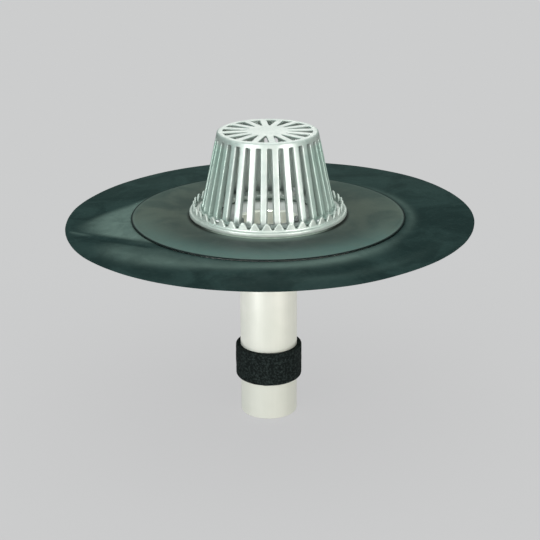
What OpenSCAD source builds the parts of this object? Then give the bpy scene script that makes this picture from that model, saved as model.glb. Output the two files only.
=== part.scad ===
// Flat roof drain of the insert kind: a spun flange pan with a long outlet
// tube, a membrane faced flange with a loose membrane skirt, a toothed clamp
// ring, a cast strainer dome and a foam seal round the tube.
// Millimetres. +Z is up. The origin is the centre of the tube's lower end.

/* [Outlet tube] */
// Outside diameter of the outlet tube
tube_od = 95; // [90:0.5:98]
// Wall of the outlet tube
tube_wall = 2.5; // [2:0.5:3]
// Height of the flange's top face above the tube's lower end
drop = 348; // [320:1:400]

/* [Flange pan] */
// Diameter of the spun metal plate
plate_od = 438; // [400:1:440]
// Thickness of the spun metal
plate_t = 2.5; // [2:0.25:3]
// Diameter at which the plate starts to dish into the bowl
bowl_d = 164; // [160:1:166]
// Depth of the bowl
bowl_depth = 9.5; // [8:0.5:14]
// Length of the neck that holds the tube
neck_l = 19; // [12:1:30]

/* [Membranes] */
// Diameter of the membrane disc that faces the plate
cover_od = 444.5; // [442:0.5:460]
// Diameter of the loose membrane skirt
skirt_od = 662; // [600:1:700]
// Inside diameter of the skirt, where it is bonded under the plate
skirt_id = 256; // [230:1:300]
// Thickness of both membranes
mem_t = 1.5; // [1.2:0.1:2]
// How far the skirt's edge hangs below the plate's underside
skirt_droop = 2.4; // [0:0.1:12]

/* [Clamp ring] */
// Outside diameter of the clamp ring
ring_od = 256; // [252:1:262]
// Inside diameter of the clamp ring
ring_id = 158; // [154:1:160]
// Thickness of the ring's flat web
ring_t = 6; // [5:0.5:8]
// Number of teeth round the ring
teeth = 40; // [30:1:44]
// Height of the teeth above the web
tooth_h = 13.5; // [8:0.5:16]
// Height of the unbroken wall under the teeth
fence_h = 3; // [2:0.5:5]
// Angle at which the first tooth stands
tooth_turn = -1; // [-9:0.5:9]
// Thickness of the gasket under the ring
gasket_t = 3; // [2:0.5:4]

/* [Strainer dome] */
// Outside diameter of the cage where it meets the ring
dome_foot_d = 218; // [212:1:219]
// Outside diameter of the cage at its top
dome_top_d = 162; // [150:1:170]
// Height of the dome above the clamp ring
dome_h = 130; // [100:1:150]
// Wall of the cage, measured level
dome_wall = 7.5; // [6:0.5:9]
// Number of ribs round the cage
ribs = 30; // [24:1:32]
// Width of one rib at its outer face
rib_w = 9.2; // [8:0.1:10]
// Width of one rib at its inner face
rib_in_w = 12; // [9.5:0.1:12.4]
// Thickness of the slotted top
top_t = 3.2; // [2.5:0.1:6]
// Number of slots in the top
top_slots = 16; // [10:1:18]
// Width of one spoke of the top
spoke_w = 11.2; // [9:0.1:12]
// Outer diameter of the ring of top slots
top_slot_d = 144; // [130:0.2:148]
// Turn of the dome on the ring
dome_turn = 98; // [0:1:360]
// Turn of the top slots against the ribs
top_turn = -2; // [-11:0.5:11]

/* [Fasteners] */
// Number of clamp studs
studs = 6; // [4:1:8]
// Diameter of the circle of studs
stud_pcd = 180; // [178:1:182]
// Diameter of a clamp stud
stud_d = 8; // [6:1:8]
// Number of screws that hold the dome
dome_screws_n = 4; // [3:1:6]
// Diameter of the circle of dome screws
screw_pcd = 225; // [224:0.5:226]

/* [Foam seal] */
// Outside diameter of the foam seal when it is not compressed
foam_od = 110.8; // [104:0.2:116]
// Height of the foam seal
foam_h = 57; // [40:1:80]
// Height of the foam seal's lower edge above the tube's end
foam_z = 64; // [30:1:120]

/* [Hidden] */
$fn = 120;
eps = 0.01;
tube_r = tube_od / 2;
bore_r = tube_r - tube_wall;
zf = drop;                       // top face of the flange
z_plate = zf - mem_t;            // top of the metal plate
z_under = z_plate - plate_t;     // underside of the metal plate
bowl_r0 = bowl_d / 2;            // where the bowl starts
bowl_r1 = tube_r + 7;            // where the bowl becomes flat again
z_bowl = z_plate - bowl_depth;   // flat floor round the tube
z_ring = zf + gasket_t;          // underside of the ring
z_web = z_ring + ring_t;         // top of the ring's web
ring_r = ring_od / 2;
foot_r = dome_foot_d / 2;
top_r = dome_top_d / 2;
z_top = z_web + dome_h;
foot_t = 3.5;                    // thickness of the dome's foot flange
foot_or = 111.6;                 // outside radius of the foot flange
ear_r = 4.8;                     // radius of an ear round a dome screw
taper = (foot_r - top_r) / dome_h;
function cage_r(z) = foot_r - taper * (z - z_web);
washer_t = 1.6;
nut_t = 6.5;
nut_af = 13;
screw_d = 5;

// --- rounded outlines -------------------------------------------------
function unit(v) = v / norm(v);
// one corner b between a and c, rounded to radius r with n steps
function corner(a, b, c, r, n) =
    r <= 0 ? [b] :
    let (u = unit(a - b), v = unit(c - b),
         half = acos(max(-1, min(1, u * v))) / 2,
         m = b + unit(u + v) * r / sin(half),
         p = b + u * r / tan(half), q = b + v * r / tan(half),
         a0 = atan2((p - m)[1], (p - m)[0]),
         a1 = atan2((q - m)[1], (q - m)[0]),
         d0 = a1 - a0,
         d = d0 > 180 ? d0 - 360 : d0 < -180 ? d0 + 360 : d0)
    [for (i = [0:n]) m + r * [cos(a0 + d * i / n), sin(a0 + d * i / n)]];
// outline whose points are [x, y, radius]
function outline(p, n = 4) = let (k = len(p))
    [for (i = [0:k - 1])
        let (a = p[(i + k - 1) % k], b = p[i], c = p[(i + 1) % k])
        each corner([a[0], a[1]], [b[0], b[1]], [c[0], c[1]], b[2], n)];

// smooth dish between the plate and the floor of the bowl, 0 at r0, 1 at r1
function dish(r) = let (t = min(1, max(0, (bowl_r0 - r) / (bowl_r0 - bowl_r1))))
    t * t * (3 - 2 * t);
bowl_steps = 12;
function bowl_line(dz) = [for (i = [0:bowl_steps])
    let (r = bowl_r0 + (bowl_r1 - bowl_r0) * i / bowl_steps)
    [r, z_plate - bowl_depth * dish(r) + dz]];
function back(p) = [for (i = [len(p) - 1:-1:0]) p[i]];

// --- spun pan: plate, bowl and neck in one piece ----------------------
module body_flange() {
    color([0.80, 0.81, 0.79])
    rotate_extrude() polygon(concat(
        [[plate_od / 2 - 0.6, z_under], [plate_od / 2, z_under + 0.6],
         [plate_od / 2, z_plate - 0.6], [plate_od / 2 - 0.6, z_plate]],
        bowl_line(0),
        [[tube_r, z_bowl], [tube_r, z_bowl - neck_l],
         [tube_r + plate_t, z_bowl - neck_l],
         [tube_r + plate_t, z_bowl - plate_t - 2.5],
         [tube_r + plate_t + 0.7, z_bowl - plate_t - 0.7],
         [tube_r + plate_t + 2.5, z_bowl - plate_t]],
        back(bowl_line(-plate_t))));
}

// --- outlet tube with its flared lip and the fillet weld at the neck --
module outlet_tube() {
    lip_r = tube_r + 6;
    zl = z_bowl + plate_t;
    zn = z_bowl - neck_l;
    color([0.90, 0.90, 0.85])
    rotate_extrude() polygon([
        [bore_r, 0.8], [bore_r + 0.7, 0], [tube_r - 0.8, 0], [tube_r, 0.8],
        [tube_r, zn - 4.4], [tube_r + 1.5, zn - 3.3], [tube_r + 2.9, zn - 1.8],
        [tube_r + 3.6, zn], [tube_r, zn], [tube_r, z_bowl],
        [lip_r, z_bowl], [lip_r, zl - 1], [lip_r - 0.35, zl - 0.3],
        [lip_r - 1, zl], [bore_r + 2.2, zl], [bore_r + 0.9, zl - 0.4],
        [bore_r + 0.2, zl - 1.3], [bore_r, zl - 2.4]]);
}

// --- membrane disc that faces the plate and ends under the clamp ring --
module membrane_cover() {
    color([0.25, 0.29, 0.26])
    difference() {
        rotate_extrude() polygon([
            [cover_od / 2, z_plate], [cover_od / 2, zf - 0.4],
            [cover_od / 2 - 0.4, zf], [bowl_r0 + 0.2, zf],
            [bowl_r0 + 0.2, z_plate]]);
        for (i = [0:studs - 1]) rotate(i * 360 / studs)
            translate([stud_pcd / 2, 0, z_plate - 1])
                cylinder(r = stud_d / 2 + 0.6, h = mem_t + 2);
    }
}

// --- loose membrane skirt, bonded under the plate ---------------------
module membrane_skirt() {
    bend_r = cover_od / 2 + 8;
    e = skirt_od / 2;
    color([0.15, 0.20, 0.20])
    rotate_extrude() polygon([
        [skirt_id / 2, z_under - mem_t], [bend_r, z_under - mem_t],
        [(bend_r + e) / 2, z_under - mem_t - skirt_droop * 0.32],
        [e, z_under - mem_t - skirt_droop],
        [e, z_under - skirt_droop],
        [(bend_r + e) / 2, z_under - skirt_droop * 0.32],
        [bend_r, z_under], [skirt_id / 2, z_under]]);
}

// --- gasket between the cover and the clamp ring ----------------------
module clamp_gasket() {
    color([0.36, 0.41, 0.38])
    difference() {
        translate([0, 0, zf]) cylinder(r = ring_r - 1, h = gasket_t);
        translate([0, 0, zf - 1]) cylinder(r = bowl_r0 + 1, h = gasket_t + 2);
        for (i = [0:studs - 1]) rotate(i * 360 / studs)
            translate([stud_pcd / 2, 0, zf - 1])
                cylinder(r = stud_d / 2 + 0.6, h = gasket_t + 2);
    }
}

// --- cast clamp ring with a fence of pointed teeth --------------------
// one tooth: its front outline crossed with its side outline
module tooth() {
    pitch = 2 * PI * 120.5 / teeth;
    zt = z_web + tooth_h;
    wb = pitch / 2 - 1.4;
    intersection() {
        translate([112, 0, 0]) rotate([90, 0, 90]) linear_extrude(height = 16)
            polygon(outline([[-wb - 0.2, z_web + 1, 0], [wb + 0.2, z_web + 1, 0],
                             [wb, z_web + fence_h, 0],
                             [wb - 0.9, z_web + fence_h + 1.4, 0],
                             [2.1, zt, 1.9], [-2.1, zt, 1.9],
                             [-wb + 0.9, z_web + fence_h + 1.4, 0],
                             [-wb, z_web + fence_h, 0]], 3));
        rotate([90, 0, 0]) linear_extrude(height = 30, center = true)
            polygon([[118.4, z_web + 1], [122.6, z_web + 1], [122.6, z_web + fence_h],
                     [122.2, zt - 1], [121.5, zt + 0.2],
                     [119.5, zt + 0.2], [118.8, zt - 1], [118.4, z_web + fence_h]]);
    }
}
module clamp_ring() {
    color([0.82, 0.84, 0.81])
    difference() {
        union() {
            rotate_extrude() polygon([
                [ring_id / 2, z_ring + 0.6], [ring_id / 2 + 0.6, z_ring],
                [ring_r - 1, z_ring], [ring_r - 0.3, z_ring + 0.3],
                [ring_r, z_ring + 1], [ring_r, z_web - 1.2],
                [ring_r - 0.5, z_web - 0.4], [ring_r - 1.4, z_web],
                [123.4, z_web], [123, z_web + fence_h],
                [118, z_web + fence_h], [117.6, z_web],
                [ring_id / 2 + 1, z_web], [ring_id / 2, z_web - 1]]);
            for (i = [0:teeth - 1])
                rotate(tooth_turn + i * 360 / teeth) tooth();
        }
        for (i = [0:studs - 1]) rotate(i * 360 / studs)
            translate([stud_pcd / 2, 0, z_ring - 1])
                cylinder(r = stud_d / 2 + 0.5, h = ring_t + 2);
        for (i = [0:dome_screws_n - 1]) rotate(45 + i * 360 / dome_screws_n)
            translate([screw_pcd / 2, 0, z_ring + 1])
                cylinder(r = screw_d / 2 + 0.05, h = ring_t);
    }
}

// --- clamp fasteners --------------------------------------------------
module clamp_studs() {
    color([0.70, 0.71, 0.72])
    for (i = [0:studs - 1]) rotate(i * 360 / studs)
        translate([stud_pcd / 2, 0, 0])
            rotate_extrude() polygon([
                [0, z_plate], [stud_d / 2, z_plate],
                [stud_d / 2, z_web + washer_t + nut_t + 3],
                [stud_d / 2 - 0.9, z_web + washer_t + nut_t + 3.9],
                [0, z_web + washer_t + nut_t + 3.9]]);
}
module clamp_washers() {
    color([0.74, 0.75, 0.76])
    for (i = [0:studs - 1]) rotate(i * 360 / studs)
        translate([stud_pcd / 2, 0, z_web]) difference() {
            cylinder(r = 8, h = washer_t);
            translate([0, 0, -1]) cylinder(r = stud_d / 2 + 0.2, h = washer_t + 2);
        }
}
module clamp_nuts() {
    color([0.72, 0.73, 0.74])
    for (i = [0:studs - 1]) rotate(i * 360 / studs)
        translate([stud_pcd / 2, 0, z_web + washer_t]) rotate(7 + 23 * i)
            difference() {
                intersection() {
                    cylinder(r = nut_af / 2 / cos(30), h = nut_t, $fn = 6);
                    rotate_extrude() polygon([[0, 0], [nut_af / 2 - 0.1, 0],
                        [nut_af / 2 + 1.1, 0.75], [nut_af / 2 + 1.1, nut_t - 0.75],
                        [nut_af / 2 - 0.1, nut_t], [0, nut_t]]);
                }
                translate([0, 0, -1]) cylinder(r = stud_d / 2 + 0.06, h = nut_t + 2);
            }
}

// --- cast strainer dome: foot flange, ribbed cage and slotted top -----
module side_slot() {
    z0 = z_web + 5;
    z1 = z_top - 8.2;
    w0 = (foot_r - taper * 5) * tan(180 / ribs) - rib_w / 2 + 0.2;
    w1 = (top_r + taper * 8.2) * tan(180 / ribs) - rib_w / 2 + 0.2;
    polygon(outline([[-w0, z0, 2.6], [w0, z0, 2.6], [w1, z1, 2.2], [-w1, z1, 2.2]], 4));
}
// what one slot leaves between two ribs whose sides lean together outwards
module slot_draft() {
    z0 = z_web + 4;
    z1 = z_top - 7;
    k = tan(180 / ribs);
    lean = k + (rib_in_w - rib_w) / 2 / dome_wall;
    wo = function (z) cage_r(z) * k - rib_w / 2;
    p = function (z, d, s) [cage_r(z) + d, s * (wo(z) + lean * d), z];
    polyhedron(
        points = [p(z0, -11, -1), p(z0, 4, -1), p(z0, 4, 1), p(z0, -11, 1),
                  p(z1, -11, -1), p(z1, 4, -1), p(z1, 4, 1), p(z1, -11, 1)],
        faces = [[0, 1, 2, 3], [4, 7, 6, 5], [0, 4, 5, 1],
                 [1, 5, 6, 2], [2, 6, 7, 3], [3, 7, 4, 0]]);
}
module top_slot() {
    a = 180 / top_slots;
    ra = spoke_w / 2 / sin(a);
    ro = top_slot_d / 2;
    b = a - asin(spoke_w / 2 / ro);
    polygon(outline([[ra, 0, 1.1],
        [ro * cos(b), -ro * sin(b), 2], [ro * cos(b / 2), -ro * sin(b / 2), 0],
        [ro, 0, 0],
        [ro * cos(b / 2), ro * sin(b / 2), 0], [ro * cos(b), ro * sin(b), 2]], 4));
}
module strainer_dome() {
    zi = z_top - top_t;          // underside of the top
    color([0.86, 0.88, 0.85])
    difference() {
        union() {
            for (i = [0:dome_screws_n - 1]) rotate(45 + i * 360 / dome_screws_n)
                translate([screw_pcd / 2, 0, z_web]) {
                    cylinder(r = ear_r, h = foot_t);
                    translate([-6, -ear_r, 0]) cube([6, 2 * ear_r, foot_t]);
                }
            rotate_extrude() polygon(concat(
                [[cage_r(z_web) - dome_wall - 1, z_web], [foot_or, z_web],
                 [foot_or, z_web + foot_t - 0.8],
                 [foot_or - 0.8, z_web + foot_t],
                 [cage_r(z_web + foot_t) + 1.4, z_web + foot_t],
                 [cage_r(z_web + foot_t) + 0.4, z_web + foot_t + 0.4],
                 [cage_r(z_web + foot_t + 1.5), z_web + foot_t + 1.5]],
                [for (i = [0:5]) let (t = i * 15)
                    [cage_r(z_top - 3.4) - 3.4 + 3.4 * cos(t), z_top - 3.4 + 3.4 * sin(t)]],
                [[top_r - 4.5, z_top], [0, z_top + 0.8], [0, zi],
                 [cage_r(zi) - dome_wall - 2, zi],
                 [cage_r(zi) - dome_wall - 0.6, zi - 0.6],
                 [cage_r(zi - 2) - dome_wall, zi - 2]]));
        }
        for (i = [0:ribs - 1]) rotate(dome_turn + (i + 0.5) * 360 / ribs)
            intersection() {
                translate([64, 0, 0]) rotate([90, 0, 90])
                    linear_extrude(height = 60) side_slot();
                slot_draft();
            }
        for (i = [0:top_slots - 1]) rotate(dome_turn + top_turn + (i + 0.5) * 360 / top_slots)
            translate([0, 0, zi - 1])
                linear_extrude(height = 10) top_slot();
        for (i = [0:dome_screws_n - 1]) rotate(45 + i * 360 / dome_screws_n)
            translate([screw_pcd / 2, 0, z_web - 1])
                cylinder(r = screw_d / 2 + 0.3, h = foot_t + 2);
        // spot face under each screw head
        for (i = [0:dome_screws_n - 1]) rotate(45 + i * 360 / dome_screws_n)
            translate([screw_pcd / 2, 0, z_web + foot_t])
                cylinder(r = 4.75, h = 5);
    }
}

// --- screws that hold the dome ----------------------------------------
module dome_screws() {
    zs = z_web + foot_t + 1;
    color([0.72, 0.73, 0.74])
    for (i = [0:dome_screws_n - 1]) rotate(45 + i * 360 / dome_screws_n)
        translate([screw_pcd / 2, 0, 0]) difference() {
            rotate_extrude() polygon([
                [0, z_ring + 1.6], [screw_d / 2 - 0.8, z_ring + 1.6],
                [screw_d / 2, z_ring + 2.4], [screw_d / 2, zs],
                [4.5, zs], [4.5, zs + 0.7], [4.1, zs + 1.6], [3.2, zs + 2.4],
                [2.1, zs + 2.75], [0, zs + 2.8]]);
            translate([0, 0, zs + 1]) cylinder(r = 1.73, h = 3, $fn = 6);
        }
}
module dome_screw_washers() {
    color([0.76, 0.77, 0.78])
    for (i = [0:dome_screws_n - 1]) rotate(45 + i * 360 / dome_screws_n)
        translate([screw_pcd / 2, 0, z_web + foot_t]) difference() {
            cylinder(r = 4.6, h = 1);
            translate([0, 0, -1]) cylinder(r = screw_d / 2 + 0.2, h = 3);
        }
}

// --- foam seal: a strip wrapped once round the tube, butted at the back
module foam_seal() {
    r0 = tube_r;
    r1 = foam_od / 2;
    z1 = foam_z + foam_h;
    color([0.10, 0.12, 0.12])
    difference() {
        rotate_extrude() polygon(outline([
            [r0, foam_z, 0], [r1, foam_z, 4], [r1, z1, 1.8], [r0, z1, 0]], 6));
        translate([-0.5, r0 - 3, foam_z - 1]) cube([1, r1 - r0 + 6, foam_h + 2]);
    }
}

body_flange();
outlet_tube();
membrane_cover();
membrane_skirt();
clamp_gasket();
clamp_ring();
clamp_studs();
clamp_washers();
clamp_nuts();
strainer_dome();
dome_screws();
dome_screw_washers();
foam_seal();
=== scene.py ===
import math

import bmesh
import bpy
import numpy as np
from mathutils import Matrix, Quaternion, Vector, noise


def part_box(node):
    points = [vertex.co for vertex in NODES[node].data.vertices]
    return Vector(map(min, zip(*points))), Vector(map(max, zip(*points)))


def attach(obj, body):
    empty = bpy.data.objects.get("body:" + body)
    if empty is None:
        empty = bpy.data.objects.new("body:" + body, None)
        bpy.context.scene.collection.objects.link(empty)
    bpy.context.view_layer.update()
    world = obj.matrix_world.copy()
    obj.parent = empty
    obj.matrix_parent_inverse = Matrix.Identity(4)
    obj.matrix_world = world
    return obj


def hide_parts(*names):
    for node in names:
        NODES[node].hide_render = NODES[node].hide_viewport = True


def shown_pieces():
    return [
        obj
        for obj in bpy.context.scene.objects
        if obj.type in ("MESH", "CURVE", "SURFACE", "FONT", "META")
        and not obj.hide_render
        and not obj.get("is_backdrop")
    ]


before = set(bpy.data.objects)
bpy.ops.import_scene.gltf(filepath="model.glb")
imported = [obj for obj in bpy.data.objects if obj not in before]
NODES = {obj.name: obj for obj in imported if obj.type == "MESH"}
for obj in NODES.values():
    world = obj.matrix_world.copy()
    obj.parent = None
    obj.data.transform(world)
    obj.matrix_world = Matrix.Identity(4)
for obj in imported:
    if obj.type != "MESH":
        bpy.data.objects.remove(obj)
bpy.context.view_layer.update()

MM = 0.001


# ---------------------------------------------------------------- helpers
def smooth(t):
    t = np.clip(t, 0.0, 1.0)
    return t * t * (3 - 2 * t)


def new_mesh(name, verts, faces, sharp_deg=40.0):
    """A smooth-shaded mesh from points in millimetres; edges sharper than sharp_deg stay sharp."""
    me = bpy.data.meshes.new(name)
    me.from_pydata((np.asarray(verts, float) * MM).tolist(), [], faces)
    me.validate()
    me.update()
    me.polygons.foreach_set("use_smooth", [True] * len(me.polygons))
    ob = bpy.data.objects.new(name, me)
    bpy.context.scene.collection.objects.link(ob)
    if sharp_deg:
        me.set_sharp_from_angle(angle=math.radians(sharp_deg))
    return ob


def loop_faces(rows, cols, close_rows, close_cols, flip=False):
    """Quads of a grid of rows x cols points, wrapped where it is closed."""
    out = []
    for i in range(rows if close_rows else rows - 1):
        i2 = (i + 1) % rows
        for j in range(cols if close_cols else cols - 1):
            j2 = (j + 1) % cols
            q = (i * cols + j, i * cols + j2, i2 * cols + j2, i2 * cols + j)
            out.append(q[::-1] if flip else q)
    return out


def fbm(p, octaves=3):
    """Smooth noise of a point in mm, about -1 to 1."""
    s, a, t = 0.0, 1.0, 0.0
    v = Vector(p)
    for _ in range(octaves):
        s += a * noise.noise(v)
        t += a
        a *= 0.5
        v = v * 2.03
    return s / t


# -------------------------------------------------------------- materials
class Mat:
    """A material built of nodes, on the object's own coordinates in metres."""

    def __init__(self, name):
        self.m = bpy.data.materials.new(name)
        self.m.use_nodes = True
        self.nt = self.m.node_tree
        self.nt.nodes.clear()
        self.out = self.add("ShaderNodeOutputMaterial")
        self.b = self.add("ShaderNodeBsdfPrincipled")
        self.nt.links.new(self.b.outputs["BSDF"], self.out.inputs["Surface"])
        self.pos = self.add("ShaderNodeTexCoord").outputs["Object"]

    def add(self, kind, **props):
        n = self.nt.nodes.new(kind)
        for k, v in props.items():
            setattr(n, k, v)
        return n

    def to(self, src, node, name):
        self.nt.links.new(src, node.inputs[name])

    def stretched(self, sx, sy, sz):
        n = self.add("ShaderNodeMapping")
        n.inputs["Scale"].default_value = (sx, sy, sz)
        self.to(self.pos, n, "Vector")
        return n.outputs["Vector"]

    def noise(self, scale, detail=3.0, rough=0.5, warp=0.0, vec=None):
        n = self.add("ShaderNodeTexNoise")
        n.inputs["Scale"].default_value = scale
        n.inputs["Detail"].default_value = detail
        n.inputs["Roughness"].default_value = rough
        n.inputs["Distortion"].default_value = warp
        self.to(vec if vec is not None else self.pos, n, "Vector")
        return n.outputs["Fac"]

    def voronoi(self, scale, vec=None, feature="F1"):
        n = self.add("ShaderNodeTexVoronoi", feature=feature)
        n.inputs["Scale"].default_value = scale
        self.to(vec if vec is not None else self.pos, n, "Vector")
        return n.outputs["Distance"]

    def span(self, src, a, b, c, d, soft=True):
        n = self.add("ShaderNodeMapRange")
        if soft:
            n.interpolation_type = "SMOOTHSTEP"
        for k, v in (("From Min", a), ("From Max", b), ("To Min", c), ("To Max", d)):
            n.inputs[k].default_value = v
        self.to(src, n, "Value")
        return n.outputs["Result"]

    def math(self, op, a, b=None):
        n = self.add("ShaderNodeMath", operation=op)
        for i, v in enumerate((a, b)):
            if v is None:
                continue
            if isinstance(v, (int, float)):
                n.inputs[i].default_value = v
            else:
                self.nt.links.new(v, n.inputs[i])
        return n.outputs[0]

    def mix(self, fac, a, b):
        """Colour mix; a and b are colours or sockets."""
        n = self.add("ShaderNodeMix", data_type="RGBA")
        self.nt.links.new(fac, n.inputs[0])
        for sock, v in ((n.inputs[6], a), (n.inputs[7], b)):
            if isinstance(v, tuple):
                sock.default_value = (*v, 1.0)
            else:
                self.nt.links.new(v, sock)
        return n.outputs[2]

    def radius(self):
        s = self.add("ShaderNodeVectorMath", operation="MULTIPLY")
        s.inputs[1].default_value = (1, 1, 0)
        self.nt.links.new(self.pos, s.inputs[0])
        n = self.add("ShaderNodeVectorMath", operation="LENGTH")
        self.nt.links.new(s.outputs[0], n.inputs[0])
        return n.outputs["Value"]

    def xyz(self, k):
        n = self.add("ShaderNodeSeparateXYZ")
        self.to(self.pos, n, 0)
        return n.outputs[k]

    def bump(self, height, strength, dist, normal=None):
        n = self.add("ShaderNodeBump")
        n.inputs["Strength"].default_value = strength
        n.inputs["Distance"].default_value = dist
        self.to(height, n, "Height")
        if normal is not None:
            self.to(normal, n, "Normal")
        return n.outputs["Normal"]

    def finish(self, color=None, rough=None, normal=None, **fixed):
        if color is not None:
            self.to(color, self.b, "Base Color")
        if rough is not None:
            self.to(rough, self.b, "Roughness")
        if normal is not None:
            self.to(normal, self.b, "Normal")
        for k, v in fixed.items():
            if isinstance(v, bpy.types.NodeSocket):
                self.to(v, self.b, k.replace("_", " "))
            else:
                self.b.inputs[k.replace("_", " ")].default_value = v
        return self.m


def cast_metal(name, light, dark, rough_lo, rough_hi, metallic, foot=0.0, side=0.0):
    m = Mat(name)
    blotch = m.noise(38, 4, 0.55, 0.4)
    grain = m.noise(1500, 2, 0.6)
    pits = m.voronoi(620)
    c = m.mix(m.span(blotch, 0.35, 0.68, 0.0, 1.0), dark, light)
    speck = m.span(pits, 0.06, 0.2, 0.82, 1.0)
    dim = m.add("ShaderNodeMix", data_type="RGBA", blend_type="MULTIPLY")
    dim.inputs[0].default_value = 1.0
    m.nt.links.new(c, dim.inputs[6])
    m.nt.links.new(speck, dim.inputs[7])
    # painted shade: the casting is painted darker low down, in the channel behind the teeth at front and back (foot
    # sets how much)
    painted_low_shade = m.math("MULTIPLY", m.span(m.xyz(2), 0.3600, 0.3720, foot, 0.0),
                 m.span(m.math("ABSOLUTE", m.xyz(0)), 0.055, 0.095, 1.0, 0.0))
    c = m.mix(painted_low_shade, dim.outputs[2], (0.080, 0.105, 0.095))
    # and painted shade on the cage's two sides, darker and greener there (side sets how much)
    painted_side_shade = m.math("MULTIPLY", m.span(m.math("ABSOLUTE", m.xyz(0)), 0.045, 0.085, 0.0, side),
                   m.span(m.xyz(2), 0.468, 0.478, 1.0, 0.0))
    painted_side_shade = m.math("MULTIPLY", painted_side_shade, m.span(m.xyz(2), 0.400, 0.465, 0.6, 1.0))
    c = m.mix(painted_side_shade, c, (0.245, 0.345, 0.300))
    r = m.span(m.noise(170, 3, 0.6), 0.3, 0.7, rough_lo, rough_hi)
    n1 = m.bump(grain, 0.30, 0.0003)
    n2 = m.bump(m.noise(330, 2, 0.5), 0.25, 0.0006, n1)
    return m.finish(c, r, n2, Metallic=metallic, Specular_IOR_Level=0.5)


def tube_metal():
    m = Mat("tube_satin")
    drawn = m.noise(260, 3, 0.6, vec=m.stretched(1, 1, 0.035))
    cloud = m.noise(16, 3, 0.5, 0.3)
    c = m.mix(m.span(cloud, 0.3, 0.7, 0.0, 1.0), (0.735, 0.740, 0.660), (0.80, 0.795, 0.720))
    c = m.mix(m.span(drawn, 0.35, 0.7, 0.0, 0.16), c, (0.66, 0.665, 0.59))
    # painted shade: the lower end is painted a little darker
    c = m.mix(m.span(m.xyz(2), 0.010, 0.230, 0.55, 0.0), c, (0.56, 0.565, 0.50))
    r = m.span(drawn, 0.3, 0.7, 0.29, 0.33)
    n = m.bump(drawn, 0.035, 0.0002)
    return m.finish(c, r, n, Metallic=0.55, Specular_IOR_Level=0.5)


def spun_metal():
    m = Mat("spun_satin")
    w = m.add("ShaderNodeTexWave", wave_type="RINGS", rings_direction="Z")
    w.inputs["Scale"].default_value = 190
    w.inputs["Distortion"].default_value = 1.2
    w.inputs["Detail"].default_value = 3
    w.inputs["Detail Scale"].default_value = 2
    m.to(m.stretched(1, 1, 0.0), w, "Vector")
    cloud = m.noise(24, 3, 0.5, 0.3)
    c = m.mix(m.span(cloud, 0.3, 0.7, 0.0, 1.0), (0.62, 0.63, 0.61), (0.74, 0.75, 0.73))
    r = m.span(w.outputs["Fac"], 0.0, 1.0, 0.30, 0.40)
    n = m.bump(w.outputs["Fac"], 0.10, 0.0002)
    return m.finish(c, r, n, Metallic=0.9)


def steel(name, base):
    m = Mat(name)
    cloud = m.noise(300, 3, 0.5)
    c = m.mix(m.span(cloud, 0.3, 0.7, 0.0, 1.0), tuple(v * 0.88 for v in base), base)
    r = m.span(m.noise(900, 2, 0.5), 0.3, 0.7, 0.22, 0.34)
    n = m.bump(m.noise(2600, 2, 0.5), 0.12, 0.0001)
    return m.finish(c, r, n, Metallic=0.95)


def cover_rubber():
    m = Mat("cover_membrane_rubber")
    swirl = m.noise(8.5, 5, 0.58, 1.5)
    fine = m.noise(60, 4, 0.6, 0.5)
    r_m = m.radius()
    c = m.mix(m.span(swirl, 0.36, 0.66, 0.0, 1.0), (0.026, 0.040, 0.033), (0.056, 0.072, 0.056))
    # painted shade and sheen on the front half: painted shadow dark beside the ring, painted sheen pale towards the rim
    painted_shade_and_sheen = m.mix(m.span(r_m, 0.150, 0.218, 0.0, 1.0), (0.005, 0.017, 0.017), (0.056, 0.108, 0.098))
    c = m.mix(m.span(m.math("ADD", m.xyz(1), m.math("MULTIPLY", m.noise(7.0, 4, 0.55, 0.6), 0.16)),
                     -0.13, 0.10, 0.92, 0.12), c, painted_shade_and_sheen)
    c = m.mix(m.span(fine, 0.45, 0.75, 0.0, 0.25), c, (0.060, 0.072, 0.060))
    # painted reflection: a pale band on the disc next to the ring, strong at front and back, faint at its two sides
    painted_ring_glow = m.math("MULTIPLY", m.span(r_m, 0.1285, 0.1450, 0.85, 0.0),
                   m.span(m.math("ABSOLUTE", m.xyz(0)), 0.040, 0.105, 1.0, 0.10))
    c = m.mix(painted_ring_glow, c, (0.105, 0.142, 0.125))
    # and painted shadow, dark close to the ring at its two sides
    painted_contact_shadow = m.math("MULTIPLY", m.span(r_m, 0.1290, 0.1335, 0.85, 0.0),
                     m.span(m.math("ABSOLUTE", m.xyz(0)), 0.062, 0.104, 0.0, 1.0))
    c = m.mix(painted_contact_shadow, c, (0.006, 0.008, 0.006))
    # painted highlight along the disc's top edge
    c = m.mix(m.span(r_m, 0.2150, 0.2185, 0.0, 0.22), c, (0.085, 0.130, 0.118))
    # painted shadow: a dark line at the disc's edge step
    c = m.mix(m.span(r_m, 0.2188, 0.2206, 0.0, 0.95), c, (0.006, 0.010, 0.010))
    r = m.span(swirl, 0.3, 0.7, 0.46, 0.60)
    n1 = m.bump(m.noise(1100, 2, 0.6), 0.18, 0.0002)
    n2 = m.bump(m.noise(30, 4, 0.5, 0.6), 0.20, 0.0010, n1)
    return m.finish(c, r, n2, Specular_IOR_Level=m.span(r_m, 0.2200, 0.2216, 0.28, 0.03))


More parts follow.
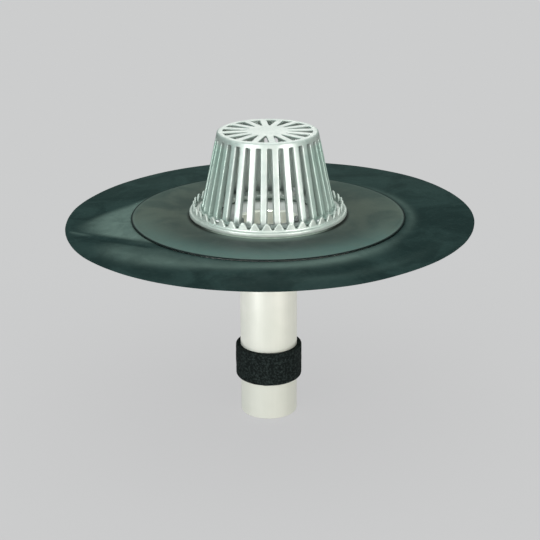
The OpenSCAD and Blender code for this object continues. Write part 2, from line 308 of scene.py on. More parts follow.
def skirt_rubber():
    m = Mat("skirt_membrane_rubber")
    # a point attribute carries painted sheen, with some dust, along the front and the folds
    at = m.add("ShaderNodeAttribute", attribute_name="sheen_and_dust")
    sheen_and_dust = at.outputs["Fac"]
    mottle = m.noise(34, 5, 0.62, 0.8)
    fine = m.noise(170, 3, 0.6)
    amount = m.math("MULTIPLY", sheen_and_dust, m.span(mottle, 0.30, 0.66, 0.74, 1.08))
    amount = m.math("ADD", amount, m.span(fine, 0.5, 0.8, 0.0, 0.06))
    # painted sheen: the back half of the skirt is lighter
    amount = m.math("ADD", amount, m.span(m.xyz(1), 0.02, 0.22, 0.0, 0.065))
    black = m.mix(m.span(m.noise(13.0, 4, 0.6, 0.8), 0.36, 0.66, 0.0, 1.0), (0.003, 0.0135, 0.0130), (0.011, 0.0275, 0.0260))
    c = m.mix(m.math("MINIMUM", amount, 1.0), black, (0.098, 0.144, 0.129))
    r = m.span(mottle, 0.3, 0.7, 0.52, 0.66)
    n1 = m.bump(m.noise(1300, 2, 0.6), 0.22, 0.0002)
    n2 = m.bump(m.noise(42, 4, 0.55, 0.5), 0.18, 0.0010, n1)
    return m.finish(c, r, n2, Specular_IOR_Level=0.08)


def gasket_rubber():
    m = Mat("gasket_rubber_grey")
    cloud = m.noise(90, 4, 0.6)
    c = m.mix(m.span(cloud, 0.3, 0.7, 0.0, 1.0), (0.20, 0.25, 0.215), (0.26, 0.32, 0.275))
    # painted shadow: its edge is dark on two sides, under the ring
    c = m.mix(m.span(m.math("ABSOLUTE", m.xyz(0)), 0.068, 0.108, 0.0, 0.93), c, (0.006, 0.008, 0.007))
    r = m.span(cloud, 0.3, 0.7, 0.55, 0.7)
    n = m.bump(m.noise(1500, 2, 0.6), 0.25, 0.0002)
    return m.finish(c, r, n, Specular_IOR_Level=0.2)


def foam_black():
    m = Mat("foam_black")
    cells = m.voronoi(430)
    tuft = m.noise(260, 4, 0.65)
    c = m.mix(m.span(tuft, 0.42, 0.70, 0.0, 1.0), (0.0035, 0.0060, 0.0057), (0.026, 0.036, 0.034))
    c = m.mix(m.span(cells, 0.10, 0.45, 0.75, 0.0), c, (0.002, 0.003, 0.003))
    n1 = m.bump(cells, 0.5, 0.0008)
    n2 = m.bump(m.noise(1400, 3, 0.7), 0.5, 0.0005, n1)
    return m.finish(c, None, n2, Roughness=0.9, Specular_IOR_Level=0.12)


def dress(ob, mat):
    ob.data.materials.clear()
    ob.data.materials.append(mat)
    return ob


MAT = {
    # the dome's last two numbers set its painted shade behind the teeth and on its two sides
    "dome": cast_metal("dome_cast_metal", (0.360, 0.400, 0.378), (0.30, 0.345, 0.325), 0.32, 0.44, 0.45, 0.55, 1.0),
    "ring": cast_metal("ring_cast_metal", (0.360, 0.400, 0.372), (0.30, 0.345, 0.320), 0.34, 0.46, 0.45),
    "tube": tube_metal(),
    "spun": spun_metal(),
    "steel": steel("stainless_fastener", (0.66, 0.67, 0.68)),
    "washer": steel("stainless_washer", (0.72, 0.73, 0.74)),
    "cover": cover_rubber(),
    "skirt": skirt_rubber(),
    "gasket": gasket_rubber(),
    "foam": foam_black(),
}

# ------------------------------------------- CAD nodes that stay as built
KEEP = {
    "body_flange": ("spun", 30), "outlet_tube": ("tube", 30),
    "membrane_cover": ("cover", 30), "clamp_gasket": ("gasket", 30),
    "clamp_washers": ("washer", 30),
    "clamp_nuts": ("steel", 25),
    "dome_screws": ("steel", 30), "dome_screw_washers": ("washer", 30),
}
for node, (mat, deg) in KEEP.items():
    ob = NODES[node]
    dress(ob, MAT[mat])
    me = ob.data
    me.polygons.foreach_set("use_smooth", [True] * len(me.polygons))
    me.set_sharp_from_angle(angle=math.radians(deg))


# ------------------------------------------------------ the two castings
def weld_mesh(name, chunks, sharp_deg):
    """Joins chunks of (points in mm, faces), merges shared points and turns faces outwards."""
    verts, faces, base = [], [], 0
    for v, f in chunks:
        v = np.asarray(v, float).reshape(-1, 3)
        verts.append(v)
        faces += [tuple(base + k for k in q) for q in f]
        base += len(v)
    me = bpy.data.meshes.new(name)
    me.from_pydata((np.concatenate(verts) * MM).tolist(), [], faces)
    bm = bmesh.new()
    bm.from_mesh(me)
    bmesh.ops.remove_doubles(bm, verts=bm.verts, dist=4e-6)
    bmesh.ops.dissolve_degenerate(bm, dist=1e-7, edges=bm.edges)
    bmesh.ops.recalc_face_normals(bm, faces=bm.faces)
    bm.to_mesh(me)
    bm.free()
    me.validate()
    me.polygons.foreach_set("use_smooth", [True] * len(me.polygons))
    me.set_sharp_from_angle(angle=math.radians(sharp_deg))
    ob = bpy.data.objects.new(name, me)
    bpy.context.scene.collection.objects.link(ob)
    return ob


def rings(prof, n, phase=0.0):
    """Full rings of n points for each (radius, height)."""
    a = np.radians(phase + np.arange(n) * 360.0 / n)
    r = np.array([p[0] for p in prof])[:, None]
    z = np.array([p[1] for p in prof])[:, None] + 0 * a[None, :]
    return np.stack([r * np.cos(a), r * np.sin(a), z], -1)


Z_WEB, Z_TOP, RIBS, TURN, TOP_TURN, SLOTS = 357.0, 487.0, 30, 98.0, -2.0, 16
Z_IN = Z_TOP - 3.2                 # underside of the slotted top


def cage_r(z):
    return 109.0 - 28.0 * (z - Z_WEB) / 130.0


def wall_t(z):
    return 7.5 + np.clip(480.0 - z, 0, 123) / 123.0


def arc_pts(c, r, a0, a1, n):
    a = np.radians(np.linspace(a0, a1, n + 1))
    nn = np.stack([np.cos(a), np.sin(a)], -1)
    return np.array(c)[None, :] + r * nn, nn


def line_pts(p, q, nrm, n):
    t = np.linspace(0, 1, n + 1)[:, None]
    return np.array(p) * (1 - t) + np.array(q) * t, np.tile(np.array(nrm, float), (n + 1, 1))


def chain(parts):
    """Joins (points, normals) runs into one closed loop, end to end."""
    ps = np.concatenate([p[:-1] for p, _ in parts])
    ns = np.concatenate([n[:-1] for _, n in parts])
    return ps, ns


def cage_sector():
    """One slot of the cage and half a rib on each side, as one grid."""
    z0, z1, rc = 362.7, Z_TOP - 8.2, 2.4
    tan6 = math.tan(math.radians(180 / RIBS))

    def w(z, d=0.0):
        rw = 9.2 + 2.8 * np.minimum(d / 7.5, 1.0)
        return (cage_r(z) - d) * tan6 - rw / 2

    zb, zt = z0 + rc, z1 - rc
    cb, ct = (w(zb) - rc, zb), (w(zt) - rc, zt)
    loop, nrm = chain([
        arc_pts((-cb[0], cb[1]), rc, 225, 270, 2), line_pts((-cb[0], z0), (cb[0], z0), (0, -1), 4),
        arc_pts(cb, rc, 270, 315, 2), arc_pts(cb, rc, 315, 360, 2),
        line_pts((w(zb), zb), (w(zt), zt), (1, 0), 12), arc_pts(ct, rc, 0, 45, 2),
        arc_pts(ct, rc, 45, 90, 2), line_pts((ct[0], z1), (-ct[0], z1), (0, 1), 4),
        arc_pts((-ct[0], ct[1]), rc, 90, 135, 2), arc_pts((-ct[0], ct[1]), rc, 135, 180, 2),
        line_pts((-w(zt), zt), (-w(zb), zb), (-1, 0), 12), arc_pts((-cb[0], cb[1]), rc, 180, 225, 2)])

    def rect(lo, hi):
        p = np.linspace(-6, 6, 9)
        z = np.concatenate([[lo, lo + (zb - lo) / 2], np.linspace(zb, zt, 13), [hi - (hi - zt) / 2, hi]])
        return np.concatenate([
            np.stack([p[:-1], 0 * p[:-1] + lo], -1), np.stack([0 * z[:-1] + 6, z[:-1]], -1),
            np.stack([p[::-1][:-1], 0 * p[:-1] + hi], -1), np.stack([0 * z[:-1] - 6, z[::-1][:-1]], -1)])

    def place(phi, z, d):
        a = np.radians(TURN + 6 + phi)
        r = cage_r(z) - d
        return np.stack([r * np.cos(a), r * np.sin(a), z], -1)

    def at(e, d_of):
        z = loop[:, 1] + e * nrm[:, 1]
        d = d_of(z)
        s = loop[:, 0] * w(loop[:, 1], d) / w(loop[:, 1]) + e * nrm[:, 0]
        return np.degrees(np.arcsin(s / (cage_r(z) - d))), z, d

    b, b2 = 1.0, 0.7
    rows = []
    ro, ri = rect(361.6, 481.0), rect(360.9, 479.9)
    phi, z, _ = at(b, lambda z: 0 * z)
    for f in (1.0, 0.62, 0.30):
        rows.append(place(phi + (ro[:, 0] - phi) * f, z + (ro[:, 1] - z) * f, 0.0))
    for a in np.radians([0, 25, 50, 72, 90]):
        rows.append(place(*at(b * (1 - math.sin(a)), lambda z: 0 * z + b * (1 - math.cos(a)))))
    for f in (0.33, 0.67):
        rows.append(place(*at(0.0, lambda z: b + (wall_t(z) - b2 - b) * f)))
    for a in np.radians([0, 30, 60, 90]):
        rows.append(place(*at(b2 * (1 - math.cos(a)), lambda z: wall_t(z) - b2 + b2 * math.sin(a))))
    phi, z, _ = at(b2, wall_t)
    for f in (0.35, 0.68, 1.0):
        pz = z + (ri[:, 1] - z) * f
        rows.append(place(phi + (ri[:, 0] - phi) * f, pz, wall_t(pz)))
    return np.stack(rows), loop_faces(len(rows), len(loop), False, True)


def top_sector():
    """One wedge-shaped slot of the top and half a spoke on each side, as one grid."""
    a = math.pi / SLOTS
    ad = math.degrees(a)
    ra, ro, rc, rt = 5.6 / math.sin(a), 72.0, 2.0, 1.1
    u, inn = np.array([math.cos(a), math.sin(a)]), np.array([math.sin(a), -math.cos(a)])
    p0 = np.array([ra, 0.0]) + rc * inn
    bq = p0 @ u
    tc = -bq + math.sqrt(bq * bq - (p0 @ p0 - (ro - rc) ** 2))
    c = p0 + tc * u
    ca = math.degrees(math.atan2(c[1], c[0]))
    side0, side1 = np.array([ra, 0.0]) + rt / math.tan(a) * u, np.array([ra, 0.0]) + tc * u
    apex = (ra + rt / math.sin(a), 0.0)
    m = lambda v: (v[0], -v[1])
    mid = (ca + (90 + ad)) / 2
    loop, nrm = chain([
        arc_pts(m(c), rc, -mid, -ca, 2), arc_pts((0, 0), ro, -ca, ca, 11), arc_pts(c, rc, ca, mid, 2),
        arc_pts(c, rc, mid, 90 + ad, 2), line_pts(side1, side0, -inn, 10),
        arc_pts(apex, rt, 90 + ad, 90 + ad + 40, 2), arc_pts(apex, rt, 130 + ad, 230 - ad, 4),
        arc_pts(apex, rt, 230 - ad, 270 - ad, 2), line_pts(m(side0), m(side1), m(-inn), 10),
        arc_pts(m(c), rc, 270 - ad, 360 - mid, 2)])

    def rect(outer):
        p = np.linspace(-ad, ad, 16)
        q = np.linspace(ad, -ad, 5)
        r = np.concatenate([[outer, (outer + 70.5) / 2], np.linspace(70.5, 34, 11), [29.5, 25.0]])
        return np.concatenate([
            np.stack([0 * p[:-1] + outer, p[:-1]], -1), np.stack([r[:-1], 0 * r[:-1] + ad], -1),
            np.stack([0 * q[:-1] + 25.0, q[:-1]], -1), np.stack([r[::-1][:-1], 0 * r[:-1] - ad], -1)])

    def place(rho, phi, d):
        t = np.radians(TURN + TOP_TURN + ad + phi)
        z = top_z(rho) - d
        return np.stack([rho * np.cos(t), rho * np.sin(t), z], -1)

    def at(e):
        q = loop + e * nrm
        return np.hypot(q[:, 0], q[:, 1]), np.degrees(np.arctan2(q[:, 1], q[:, 0]))

    b, b2 = 0.9, 0.4
    rows = []
    out, under = rect(75.0), rect(73.2)
    rho, phi = at(b)
    for f in (1.0, 0.62, 0.30):
        rows.append(place(rho + (out[:, 0] - rho) * f, phi + (out[:, 1] - phi) * f, 0.0))
    for t in np.radians([0, 25, 50, 72, 90]):
        rows.append(place(*at(b * (1 - math.sin(t))), b * (1 - math.cos(t))))
    rho, phi = at(0.0)
    deep = top_z(rho) - Z_IN
    for f in (0.4, 0.75):
        rows.append(place(rho, phi, b + (deep - b2 - b) * f))
    for t in np.radians([0, 45, 90]):
        rho, phi = at(b2 * (1 - math.cos(t)))
        rows.append(place(rho, phi, top_z(rho) - Z_IN - b2 + b2 * math.sin(t)))
    for f in (0.5, 1.0):
        rr = rho + (under[:, 0] - rho) * f
        rows.append(place(rr, phi + (under[:, 1] - phi) * f, top_z(rr) - Z_IN))
    return np.stack(rows), loop_faces(len(rows), len(loop), False, True)


def top_z(r):
    return Z_TOP + 0.8 * (1 - r / 76.5)


def spun_copies(pts, faces, n):
    out = []
    for k in range(n):
        a = 2 * math.pi * k / n
        ca, sa = math.cos(a), math.sin(a)
        x, y = pts[..., 0], pts[..., 1]
        out.append((np.stack([x * ca - y * sa, x * sa + y * ca, pts[..., 2]], -1), faces))
    return out


def lug(cx, r, z0, z1):
    """A rounded ear that sticks out of the foot round a screw."""
    out = []
    for e, z in ((0.0, z0), (0.0, z1 - 0.6), (0.18, z1 - 0.2), (0.6, z1)):
        rr = r - e
        a = np.radians(np.linspace(-90, 90, 17))
        x = np.concatenate([[cx - 6], cx + rr * np.cos(a), [cx - 6]])
        y = np.concatenate([[-rr], rr * np.sin(a), [rr]])
        out.append(np.stack([x, y, 0 * x + z], -1))
    n = out[0].shape[0]
    f = loop_faces(4, n, False, True) + [tuple(range(n)), tuple(range(3 * n, 4 * n))]
    return np.stack(out), f


def make_dome():
    chunks = spun_copies(*cage_sector(), RIBS) + spun_copies(*top_sector(), SLOTS)
    n = 240
    # rim: from the cage up over the rounded edge to the top
    cx, cz = cage_r(Z_TOP - 3.4) - 3.4, Z_TOP - 3.4
    prof = [(cage_r(481.0), 481.0), (cage_r(482.4), 482.4)]
    prof += [(cx + 3.4 * math.cos(t), cz + 3.4 * math.sin(t)) for t in np.radians([0, 15, 30, 45, 60, 75])]
    prof += [(76.5, Z_TOP)]
    rim = rings(prof, n, TURN)
    last = rings([(75.0, top_z(75.0))], n, TURN - 0.5)
    chunks.append((np.concatenate([rim, last]), loop_faces(len(prof) + 1, n, False, True)))
    # inside corner under the top
    prof = [(cage_r(479.9) - wall_t(479.9), 479.9), (74.75, 481.3), (74.4, 482.4), (73.9, 483.3)]
    ins = rings(prof, n, TURN)
    last = rings([(73.2, Z_IN)], n, TURN - 0.5)
    chunks.append((np.concatenate([ins, last]), loop_faces(len(prof) + 1, n, False, True)))
    # foot flange
    prof = [(cage_r(361.6), 361.6), (108.35, 361.1), (108.8, 360.7), (109.6, 360.5), (110.7, 360.5),
            (111.25, 360.35), (111.55, 359.95), (111.6, 359.5), (111.6, 357.3), (111.4, 357.02), (100.9, 357.0),
            (100.55, 357.3), (cage_r(360.9) - wall_t(360.9), 360.9)]
    chunks.append((rings(prof, n, TURN), loop_faces(len(prof), n, False, True)))
    # hub, above and below
    for top in (True, False):
        prof = [(25.0, 0), (20.0, 0), (13.0, 0), (6.0, 0)]
        m = 64
        z = [top_z(p[0]) if top else Z_IN for p in prof]
        hub = rings([(p[0], q) for p, q in zip(prof, z)], m, TURN + TOP_TURN)
        mid = np.array([[[0.0, 0.0, top_z(0.0) if top else Z_IN]]])
        v = np.concatenate([hub.reshape(-1, 3), mid.reshape(-1, 3)])
        f = loop_faces(4, m, False, True)
        f += [(3 * m + k, 3 * m + (k + 1) % m, 4 * m) for k in range(m)]
        chunks.append((v, f))
    for k in range(4):
        t = math.radians(45 + 90 * k)
        v, f = lug(112.5, 4.8, Z_WEB, Z_WEB + 3.5)
        x, y = v[..., 0] * math.cos(t) - v[..., 1] * math.sin(t), v[..., 0] * math.sin(t) + v[..., 1] * math.cos(t)
        chunks.append((np.stack([x, y, v[..., 2]], -1), f))
    ob = weld_mesh("cast_dome", chunks, 42)
    dress(ob, MAT["dome"])
    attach(ob, "root")
    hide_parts("strainer_dome")
    return ob


def make_ring():
    prof = [(79.0, 351.5), (79.2, 351.15), (79.6, 351.0), (127.0, 351.0), (127.6, 351.15), (127.9, 351.5),
            (128.0, 352.0), (128.0, 355.2), (127.85, 355.95), (127.45, 356.55), (126.8, 356.92), (126.1, 357.0),
            (124.6, 357.0), (123.9, 357.2), (123.5, 357.7), (123.35, 358.4), (123.1, 359.3), (122.8, 359.8),
            (122.3, 360.0), (118.7, 360.0), (118.2, 359.8), (117.9, 359.3), (117.65, 358.4), (117.5, 357.7),
            (117.1, 357.2), (116.4, 357.0), (80.2, 357.0), (79.5, 356.85), (79.1, 356.5), (79.0, 355.9)]
    n = 360
    chunks = [(rings(prof, n), loop_faces(len(prof), n, True, True))]
    levels = [(358.6, 8.1, 2.1), (359.9, 8.1, 2.1), (360.15, 7.95, 2.1), (360.5, 7.65, 2.08), (361.2, 7.22, 2.05),
              (363.0, 6.25, 1.98), (365.0, 5.14, 1.9), (367.0, 4.03, 1.82), (368.4, 3.22, 1.76), (369.2, 2.70, 1.66),
              (369.8, 2.12, 1.42), (370.2, 1.50, 1.08), (370.42, 0.85, 0.66), (370.5, 0.3, 0.25)]
    m = 28
    t = 2 * math.pi * (np.arange(m) + 0.5) / m
    for k in range(40):
        a = math.radians(-1 + 9 * k)
        jit = 1 + 0.012 * math.sin(7.3 * k + 1.0)
        tall = 0.18 * math.sin(3.7 * k)
        lay = []
        for z, h, w in levels:
            e = 2 / 5.0
            y = h * jit * np.sign(np.cos(t)) * np.abs(np.cos(t)) ** e
            x = 120.5 + w * np.sign(np.sin(t)) * np.abs(np.sin(t)) ** e
            x = np.sqrt(np.maximum(x * x - y * y, 0))
            zz = z + tall * (z - 358.6) / 12
            lay.append(np.stack([x * math.cos(a) - y * math.sin(a), x * math.sin(a) + y * math.cos(a), 0 * x + zz], -1))
        f = loop_faces(len(lay), m, False, True) + [tuple(range(m)), tuple(range((len(lay) - 1) * m, len(lay) * m))]
        chunks.append((np.stack(lay), f))
    ob = weld_mesh("cast_ring", chunks, 48)
    dress(ob, MAT["ring"])
    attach(ob, "root")
    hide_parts("clamp_ring")
    return ob


dome = make_dome()
ring = make_ring()


# --------------------------------------------------- loose membrane skirt
def line_dist(x, y, pts):
    """Distance from points to a polyline, and the side they lie on."""
    best = np.full(x.shape, 1e9)
    side = np.zeros(x.shape)
    for (ax, ay), (bx, by) in zip(pts[:-1], pts[1:]):
        dx, dy = bx - ax, by - ay
        t = np.clip(((x - ax) * dx + (y - ay) * dy) / (dx * dx + dy * dy), 0, 1)
        ex, ey = x - (ax + t * dx), y - (ay + t * dy)
        d = np.hypot(ex, ey)
        s = np.sign(dx * (y - ay) - dy * (x - ax))
        side = np.where(d < best, s, side)
        best = np.minimum(best, d)
    return best, side


CREASE = [(-322, -66), (-292, -86), (-252, -108), (-213, -131), (-186, -146), (-158, -160), (-120, -176)]


def skirt_height(x, y):
    """Height of the skirt's top face over its flat level, in mm."""
    r, th = np.hypot(x, y), np.arctan2(y, x)
    out = np.clip((r - 226) / 105, 0, 1)
    droop = -2.0 * smooth(out) * out ** 0.3
    wave = (0.35 * np.sin(3 * th + 0.8) + 0.4 * np.sin(5 * th - 1.1) + 0.22 * np.sin(8 * th + 2.0)
            + 0.12 * np.sin(13 * th + 0.4))
    lean = 4.4 * np.cos(th) + 1.9 * np.sin(th) + 0.5
    z = droop + wave * out ** 1.4 + lean * out ** 1.1
    # the sheet rolls up a little where it leaves the disc
    z += 1.8 * smooth((r - 219.5) / 4.5) * (1 - smooth((r - 226) / 14))
    d, side = line_dist(x, y, CREASE)
    reach = smooth((r - 224) / 14)
    z += reach * (-1.3 * np.exp(-(d / 4.0) ** 2) + 0.9 * np.exp(-((d - 9) / 7) ** 2) * (side > 0)
                  + 0.4 * np.exp(-((d - 10) / 8) ** 2) * (side < 0))
    return z


def skirt_sheen_and_dust(x, y):
    """How far painted sheen, with some dust, lightens the rubber, 0 to 1."""
    r, th = np.hypot(x, y), np.degrees(np.arctan2(y, x))

    def at(pairs):
        return np.interp(th, [p[0] for p in pairs], [p[1] for p in pairs])

    def bump(v, mid, wide):
        return np.exp(-((v - mid) / wide) ** 2)

    # painted sheen: a band along the front, wide on the left and narrow on the right
    mid = at([(-150, 284), (-137, 276), (-124, 260), (-110, 247), (-95, 238), (-60, 233), (-30, 231)])
    wide = at([(-150, 22), (-137, 22), (-124, 19), (-110, 14), (-95, 11), (-62, 17), (-45, 17), (-30, 9)])
    amp = at([(-156, 0.0), (-146, 0.42), (-130, 0.58), (-110, 0.50), (-90, 0.52), (-62, 0.62),
              (-45, 0.35), (-25, 0.12), (-10, 0.30), (12, 0.42), (28, 0.30), (48, 0.05), (60, 0.0)])
    b = amp * bump(r, mid, wide)
    b = b * (r > mid) + (b * 0.6 + amp * 0.4 * smooth((r - 222) / 12)) * (r <= mid)
    # painted sheen: a pale triangle on the left between the back's dark band and the crease
    d1 = ((x + 305) * 88 - (y + 8) * 77) / 116.9
    d2, side = line_dist(x, y, CREASE)
    tri = smooth(d1 / 24) * smooth(np.where(side > 0, d2, 0) / 20 - 0.25) * smooth((-x - 60) / 90)
    b = np.maximum(b, 0.82 * tri * smooth((318 - r) / 62))
    # painted shade along the crease on the left
    b *= 1 - 0.85 * np.exp(-(d2 / 6.5) ** 2) * smooth((-x - 150) / 40)
    # a pale line of painted highlight along the crease near the outer edge
    b += 0.35 * np.exp(-((d2 - 8) / 3.0) ** 2) * (side > 0) * smooth((r - 285) / 20) * smooth((325 - r) / 10)
    # a faint patch of painted sheen at the front right
    b += 0.10 * bump(th, -62, 25) * bump(r, 296, 12)
    return np.clip(b, 0, 1)


def make_skirt():
    n = 480
    rs = [128, 150, 175, 200, 214, 218.5, 220, 221.5, 223, 225, 227.5] + list(np.arange(230, 327, 3.0)) + [327.5, 329.6]
    rs = np.array(rs, float)
    t = 1.5
    top = [(r, 0.0) for r in rs] + [(330.5, -0.12), (331.0, -0.5)]
    bot = [(331.0, -1.0), (330.5, -1.38)] + [(r, -t) for r in rs[::-1]]
    prof = np.array(top + bot)
    th = np.arange(n) * 2 * math.pi / n
    wobble = 0.3 * np.sin(7 * th + 1) + 0.15 * np.sin(17 * th + 2.2) + 0.06 * np.sin(41 * th)
    R = prof[:, 0][:, None] + np.zeros(n)[None, :]
    R += (wobble - 0.4 + 2.3 * np.cos(th))[None, :] * smooth((R - 260) / 71)
    X, Y = R * np.cos(th), R * np.sin(th)
    Z = 344.0 + prof[:, 1][:, None] + skirt_height(X, Y)
    verts = np.stack([X, Y, Z], -1).reshape(-1, 3)
    ob = new_mesh("skirt_sheet", verts, loop_faces(len(prof), n, True, True, flip=True), 50)
    at = ob.data.attributes.new("sheen_and_dust", "FLOAT", "POINT")
    at.data.foreach_set("value", skirt_sheen_and_dust(X, Y).reshape(-1).astype(np.float32))
    dress(ob, MAT["skirt"])
    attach(ob, "root")
    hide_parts("membrane_skirt")
    return ob


skirt = make_skirt()


# --------------------------------------------------------------- foam seal
def make_foam():
    r0, r1, z0, z1 = 47.55, 55.4, 64.0, 121.0
    gap = math.asin(0.5 / 51.0)
    n = 520
    th = math.pi / 2 + gap + (2 * math.pi - 2 * gap) * np.arange(n) / (n - 1)
    prof = [(r0, z0 + 0.2), (r0 + 1.5, z0)]
    prof += [(r1 - 4 - 0.4, z0)]
    for i in range(1, 6):
        a = math.radians(-90 + 90 * i / 6)
        prof.append((r1 - 4 + 4 * math.cos(a), z0 + 4 + 4 * math.sin(a)))
    zs = np.linspace(z0 + 4.2, z1 - 2.0, 78)
    prof += [(r1, z) for z in zs]
    for i in range(1, 4):
        a = math.radians(90 * i / 4)
        prof.append((r1 - 1.8 + 1.8 * math.cos(a), z1 - 1.8 + 1.8 * math.sin(a)))
    prof += [(r1 - 2.6, z1), (r1 - 4.2, z1), (r1 - 6.2, z1), (r0, z1 - 0.1)]
    k = len(prof)
    verts = []
    for i, (r, z) in enumerate(prof):
        edge = 0 < i < k - 1
        for a in th:
            ca, sa = math.cos(a), math.sin(a)
            rr, zz = r, z
            if edge and r > r0 + 1:
                p = (r * ca, r * sa, z)
                pit = noise.noise(Vector(p) * 0.62)
                big = fbm((p[0] * 0.09, p[1] * 0.09, p[2] * 0.09), 2)
                fine = noise.noise(Vector(p) * 1.35 + Vector((9, 3, 5)))
                d = 0.42 * big - 0.55 * max(0.0, pit - 0.05) * 2.0 + 0.22 * fine - 0.18
                # a slight bulge on the left, where the strip is drawn tight
                d += 0.55 * math.exp(-((z - 97) / 13) ** 2) * max(0.0, -ca) ** 3
                if r > r1 - 5:
                    rr += d
                if z < z0 + 4:
                    zz += 0.5 * d + 0.5 * big
                elif z > z1 - 2.1:
                    zz += 0.45 * d + 0.5 * big
            verts.append((rr * ca, rr * sa, zz))
    faces = loop_faces(k, n, True, False, flip=True)
    first = [i * n for i in range(k)]
    last = [i * n + n - 1 for i in range(k)]
    faces += [tuple(first[::-1]), tuple(last)]
    ob = new_mesh("foam_strip", verts, faces, 75)
    dress(ob, MAT["foam"])
    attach(ob, "root")
    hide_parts("foam_seal")
    return ob


foam = make_foam()


# ----------------------------------------------------- threaded weld studs
def make_studs():
    lo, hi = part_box("clamp_studs")
    z0, z1 = lo.z / MM, hi.z / MM
    r_out, pitch, depth = 3.97, 1.25, 0.62
    seg, step = 36, 0.25
    zs = list(np.arange(z0, z1 - 0.01, step)) + [z1]
    verts, faces = [], []
    for s in range(6):
        a = math.radians(60 * s)
        cx, cy = 90 * math.cos(a), 90 * math.sin(a)
        base = len(verts)
        for z in zs:
            for j in range(seg):
                t = 2 * math.pi * j / seg
                ph = ((z - z0) / pitch - t / (2 * math.pi)) % 1.0
                tri = abs(2 * ph - 1)
                groove = min(1.0, max(0.0, (tri - 0.10) / 0.78))
                fade = min(1.0, max(0.0, (z - z0 - 2.0) / 1.5))
                r = r_out - depth * (1 - groove) * fade
                r -= max(0.0, z - (z1 - 0.9)) * 0.95
                verts.append((cx + r * math.cos(t), cy + r * math.sin(t), z))
        rows = len(zs)
        faces += [tuple(base + v for v in f) for f in loop_faces(rows, seg, False, True)]
        faces.append(tuple(base + j for j in range(seg))[::-1])
        faces.append(tuple(base + (rows - 1) * seg + j for j in range(seg)))
    ob = new_mesh("threaded_studs", verts, faces, 45)
    dress(ob, MAT["steel"])
    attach(ob, "root")
    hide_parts("clamp_studs")
    return ob


studs = make_studs()


# -------------------------------------------------------- floor and lights
def make_floor():
    me = bpy.data.meshes.new("floor")
    s = 30.0
    me.from_pydata([(-s, -s, 0), (s, -s, 0), (s, s, 0), (-s, s, 0)], [], [(0, 1, 2, 3)])
    ob = bpy.data.objects.new("floor", me)
    bpy.context.scene.collection.objects.link(ob)
    ob.location.z = -0.0005
    m = bpy.data.materials.new("floor_paper")
    m.use_nodes = True
    nt = m.node_tree
    b = nt.nodes["Principled BSDF"]
    b.inputs["Base Color"].default_value = (0.07, 0.07, 0.07, 1)
    b.inputs["Roughness"].default_value = 0.95
    b.inputs["Specular IOR Level"].default_value = 0.0
    b.inputs["Emission Color"].default_value = (0.575, 0.575, 0.58, 1)
    b.inputs["Emission Strength"].default_value = 0.90
    me.materials.append(m)
    ob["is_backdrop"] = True
    return ob


floor = make_floor()

world = bpy.data.worlds.new("studio")
bpy.context.scene.world = world
world.use_nodes = True
wt = world.node_tree
wt.nodes.clear()
w_out = wt.nodes.new("ShaderNodeOutputWorld")
w_bg = wt.nodes.new("ShaderNodeBackground")
# seen directly, past the end of the floor, the sky is the floor's plain grey
w_path = wt.nodes.new("ShaderNodeLightPath")
w_flat = wt.nodes.new("ShaderNodeBackground")
w_flat.inputs["Color"].default_value = (0.605, 0.610, 0.612, 1.0)
w_mix = wt.nodes.new("ShaderNodeMixShader")
wt.links.new(w_path.outputs["Is Camera Ray"], w_mix.inputs[0])
wt.links.new(w_bg.outputs[0], w_mix.inputs[1])
wt.links.new(w_flat.outputs[0], w_mix.inputs[2])
wt.links.new(w_mix.outputs[0], w_out.inputs[0])
w_tc = wt.nodes.new("ShaderNodeTexCoord")


def w_dot(az, el):
    """Cosine of the angle to a direction. Azimuth 0 is towards -Y, and grows towards +X."""
    a, e = math.radians(az), math.radians(el)
    n = wt.nodes.new("ShaderNodeVectorMath")
    n.operation = "DOT_PRODUCT"
    n.inputs[1].default_value = (math.sin(a) * math.cos(e), -math.cos(a) * math.cos(e), math.sin(e))
    wt.links.new(w_tc.outputs["Generated"], n.inputs[0])
    return n.outputs["Value"]


def w_map(src, a, b, c, d):
    n = wt.nodes.new("ShaderNodeMapRange")
    n.interpolation_type = "SMOOTHSTEP"
    for k, v in (("From Min", a), ("From Max", b), ("To Min", c), ("To Max", d)):
        n.inputs[k].default_value = v
    wt.links.new(src, n.inputs["Value"])
    return n.outputs["Result"]


def w_add(total, fac, color):
    s = wt.nodes.new("ShaderNodeVectorMath")
    s.operation = "SCALE"
    s.inputs[0].default_value = color
    wt.links.new(fac, s.inputs["Scale"])
    if total is None:
        return s.outputs[0]
    n = wt.nodes.new("ShaderNodeVectorMath")
    n.operation = "ADD"
    wt.links.new(total, n.inputs[0])
    wt.links.new(s.outputs[0], n.inputs[1])
    return n.outputs[0]


up = w_dot(0, 90)
sky = w_add(None, w_map(up, -1, 1, 1.0, 1.0), (0.125, 0.20, 0.175))
sky = w_add(sky, w_map(up, 0.42, 0.85, 0.0, 1.0), (1.5, 1.5, 1.49))
sky = w_add(sky, w_map(w_dot(-34, 14), 0.78, 0.95, 0.0, 1.0), (2.1, 2.12, 2.1))
sky = w_add(sky, w_map(w_dot(40, 14), 0.82, 0.96, 0.0, 1.0), (1.8, 1.76, 1.66))
wt.links.new(sky, w_bg.inputs["Color"])
w_bg.inputs["Strength"].default_value = 1.0


def group(name, obs):
    """A collection of the pieces that a light falls on."""
    c = bpy.data.collections.new(name)
    for ob in obs:
        c.objects.link(ob)
    return c


castings = group("lit_castings", [dome, ring])
tube_only = group("lit_tube", [NODES["outlet_tube"]])
pan = group("lit_pan", [NODES["outlet_tube"], NODES["body_flange"]])
every = group("lit_all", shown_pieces())
# the floor's own glow lights the soft parts and the tube, not the bright castings
floor.light_linking.receiver_collection = group("lit_by_floor", [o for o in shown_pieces() if o not in (dome, ring)])


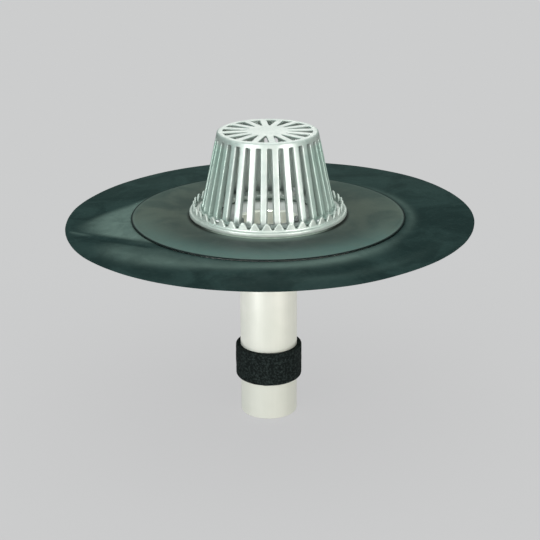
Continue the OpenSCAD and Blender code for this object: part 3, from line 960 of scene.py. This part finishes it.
def softbox(name, az, el, dist, size, power, color, falls_on, aim=(0, 0, 0.40)):
    """A square soft light that faces the object and isn't seen. Azimuth 0 is towards -Y."""
    d = bpy.data.lights.new(name, "AREA")
    d.size = size
    d.energy = power
    d.color = color
    ob = bpy.data.objects.new(name, d)
    bpy.context.scene.collection.objects.link(ob)
    a, e = math.radians(az), math.radians(el)
    off = Vector((math.sin(a) * math.cos(e), -math.cos(a) * math.cos(e), math.sin(e))) * dist
    ob.location = Vector(aim) + off
    ob.rotation_mode = "QUATERNION"
    ob.rotation_quaternion = (-off).to_track_quat("-Z", "Y")
    ob.visible_camera = False
    ob.light_linking.receiver_collection = falls_on
    return ob


softbox("left_strip", -40, 0, 1.0, 0.25, 2.9, (1.0, 1.0, 1.0), every, (0, 0, 0.40))
softbox("right_strip", 46, 0, 1.0, 0.23, 1.9, (1.0, 0.985, 0.95), every, (0, 0, 0.40))
softbox("c_back", 180, 20, 1.6, 0.7, 2.8, (1.0, 0.94, 0.93), castings)
softbox("c_backhi", 180, 45, 1.6, 0.7, 5.0, (1.0, 0.97, 0.95), castings)
softbox("c_front", 0, 6, 1.6, 0.35, 2.5, (1.0, 0.93, 0.92), castings)
softbox("c_left", -34, 6, 1.6, 0.45, 8.0, (1.0, 0.95, 0.94), castings)
softbox("c_right", 38, 6, 1.6, 0.45, 12.5, (1.0, 0.92, 0.92), castings)
softbox("c_farleft", -80, 20, 1.6, 0.45, 2.0, (0.50, 1.0, 0.92), castings)
softbox("c_farright", 80, 20, 1.6, 0.45, 1.6, (0.50, 1.0, 0.84), castings)
softbox("tube_left", -44, 0, 1.0, 0.12, 3.6, (0.95, 1.0, 1.06), tube_only, (0, 0, 0.26))
softbox("tube_right", 41, 0, 1.0, 0.12, 2.2, (1.0, 0.96, 0.90), tube_only, (0, 0, 0.26))
softbox("t_mid", 0, 50, 1.6, 0.5, 60.0, (0.90, 0.98, 1.0), pan)
softbox("t_high", 0, 64, 1.6, 0.5, 60.0, (0.95, 1.0, 1.0), pan)

# ------------------------------------------------------------------ camera
cam_data = bpy.data.cameras.new("camera")
cam = bpy.data.objects.new("camera", cam_data)
bpy.context.scene.collection.objects.link(cam)
cam_data.sensor_width = 36.0
cam_data.lens = 89.7
cam_data.shift_x = 0.0030
cam_data.clip_start, cam_data.clip_end = 0.05, 100
cam.location = (0.0, -2.0881, 1.0222)
cam.rotation_mode = "QUATERNION"
cam.rotation_quaternion = (Quaternion((1, 0, 0), math.radians(90 - 20.29))
                           @ Quaternion((0, 0, 1), math.radians(-0.3)))
bpy.context.scene.camera = cam
bpy.context.scene.view_settings.view_transform = "Standard"
